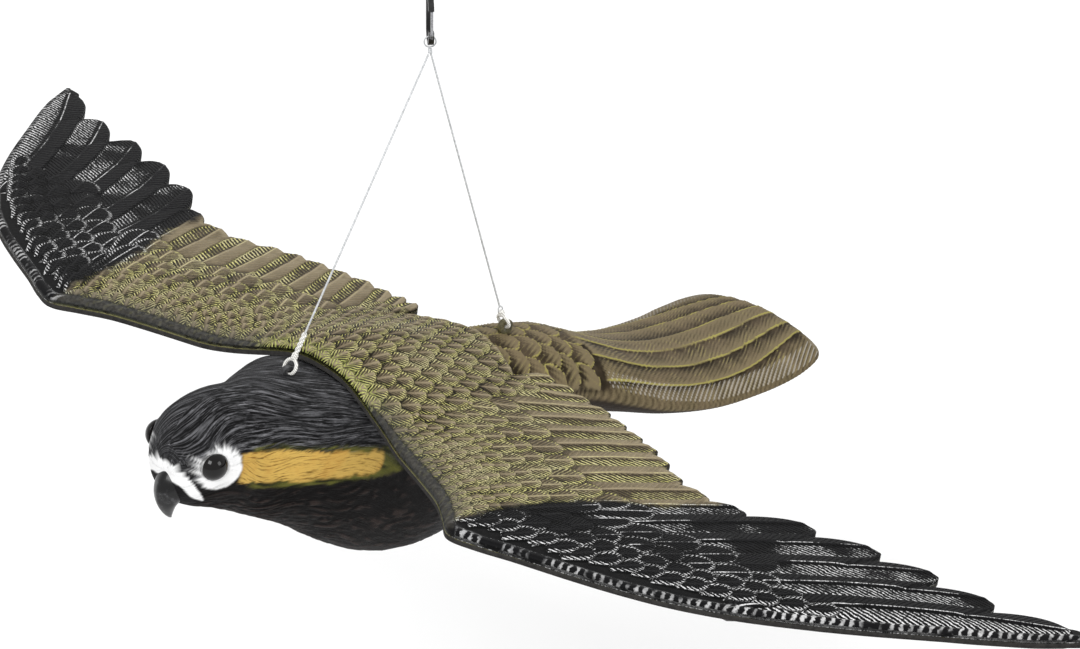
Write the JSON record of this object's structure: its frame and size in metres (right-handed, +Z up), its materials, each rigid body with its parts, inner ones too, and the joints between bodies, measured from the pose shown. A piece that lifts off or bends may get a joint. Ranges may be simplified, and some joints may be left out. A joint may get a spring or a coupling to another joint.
{
  "type": "hanging bird decoy",
  "caption": "Flying bird-of-prey decoy: hollow moulded body and one-piece wings, hung by two lines from a small spring clip.",
  "frame": {"origin": "centre of the inner upper bow of the hanging clip, where a hook or branch carries the decoy", "axes": "+Z up against gravity, -Y the way the bird faces, +X the bird's left wing"},
  "size_m": [0.588, 0.3372, 0.2362],
  "materials": {
    "head_black": "matt moulded plastic with a streaked feather texture",
    "olive_plumage": "painted moulded plastic, satin, yellow-green dry brushing on feather edges",
    "dark_underside": "matt moulded plastic",
    "gloss_black": "polished",
    "white_cord": "white twisted nylon cord",
    "clear_line": "clear nylon line",
    "black_clip": "black enamel",
    "steel": "plain steel"
  },
  "bodies": {
    "clip": {"clip_body": "black_clip", "clip_gate_pin": "steel", "clip_gate_spring": "steel"},
    "gate": {"clip_gate": "steel"},
    "loop": {"top_loop": "clear_line"},
    "knot": {"top_knot": "clear_line"},
    "lines": {"line_front": "clear_line", "line_rear": "clear_line", "front_tie": "white_cord", "rear_tie": "white_cord", "rear_ring": "clear_line"},
    "bird": {"body_shell": "head_black", "wing_upper_shell": "olive_plumage", "wing_lower_shell": "dark_underside", "wing_pegs": "dark_underside", "eye_left": "gloss_black", "eye_right": "gloss_black", "eye_washer_left": "steel", "eye_washer_right": "steel", "front_lug": "head_black", "rear_lug": "olive_plumage"}
  },
  "joints": [
    {"name": "gate_hinge", "type": "hinge", "parent": "clip", "child": "gate", "pos_m": [0.00359, -0.00271, -0.0096], "axis": [-0.6018, -0.7986, 0], "range_deg": [0, 28], "stiffness_Nm_per_rad": 0.0005, "springref_deg": -17.19},
    {"name": "swing_along", "type": "hinge", "parent": "clip", "child": "loop", "pos_m": [0, 0, -0.0102], "axis": [0.6018, 0.7986, 0], "range_deg": [-35, 35]},
    {"name": "swing_across", "type": "hinge", "parent": "loop", "child": "knot", "pos_m": [0, 0, -0.0147], "axis": [0.7986, -0.6018, 0], "range_deg": [-45, 45]},
    {"name": "turn", "type": "hinge", "parent": "knot", "child": "lines", "pos_m": [0, 0, -0.0186], "axis": [0, 0, 1], "range_deg": [-180, 180]},
    {"name": "bank", "type": "hinge", "parent": "lines", "child": "bird", "pos_m": [0, -0.074, -0.131], "axis": [0, 0.9785, -0.2063], "range_deg": [-12, 12]}
  ]
}
